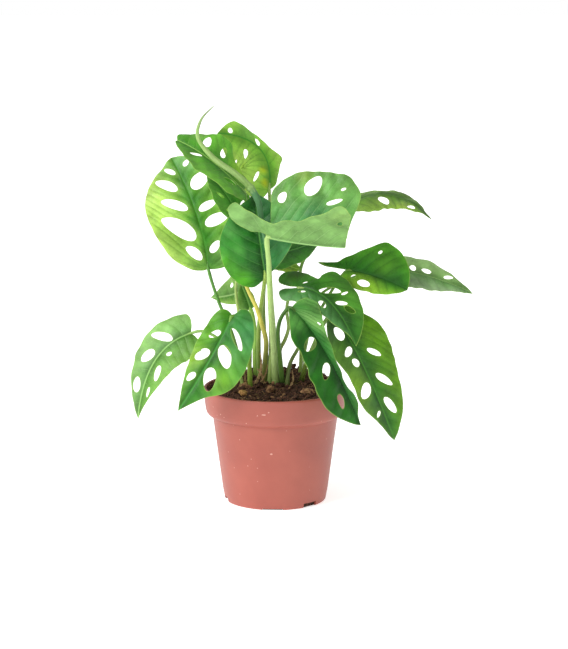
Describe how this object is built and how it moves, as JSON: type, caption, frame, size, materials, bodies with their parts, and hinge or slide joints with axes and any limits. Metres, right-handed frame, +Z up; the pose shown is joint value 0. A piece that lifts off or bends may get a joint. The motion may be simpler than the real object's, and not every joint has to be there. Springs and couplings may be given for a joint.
{
  "type": "potted monstera plant",
  "caption": "Young monstera with pierced pointed leaves on slim stalks, rooted in heaped soil in a round tapered plastic nursery pot.",
  "frame": {"origin": "middle of the pot's flat foot, on the surface it stands on", "axes": "+Z up along the pot's axis, -Y towards the viewer of the picture, +X to the picture's right"},
  "size_m": [0.2854, 0.1509, 0.3363],
  "materials": {
    "pot": "terracotta-coloured moulded plastic, satin",
    "soil": "moist dark peat with bark bits and tan fibres",
    "leaf": "living leaf, softly glossy, green",
    "young_leaf": "rolled young leaf, pale green, satin"
  },
  "bodies": {
    "root": {"pot": "pot", "soil": "soil", "leaf_high_left": "leaf", "leaf_top_left": "leaf", "leaf_behind_left": "leaf", "leaf_top_back": "leaf", "leaf_front_top": "leaf", "leaf_centre": "leaf", "leaf_right_high": "leaf", "leaf_right_middle": "leaf", "leaf_far_right": "leaf", "leaf_centre_right": "leaf", "leaf_lower_right": "leaf", "leaf_lower_middle": "leaf", "leaf_lower_left": "leaf", "leaf_far_left": "leaf", "leaf_small_left": "leaf", "leaf_small_upright": "leaf", "leaf_inner_right": "leaf", "leaf_small_back": "leaf", "rolled_leaf": "young_leaf"}
  },
  "joints": []
}
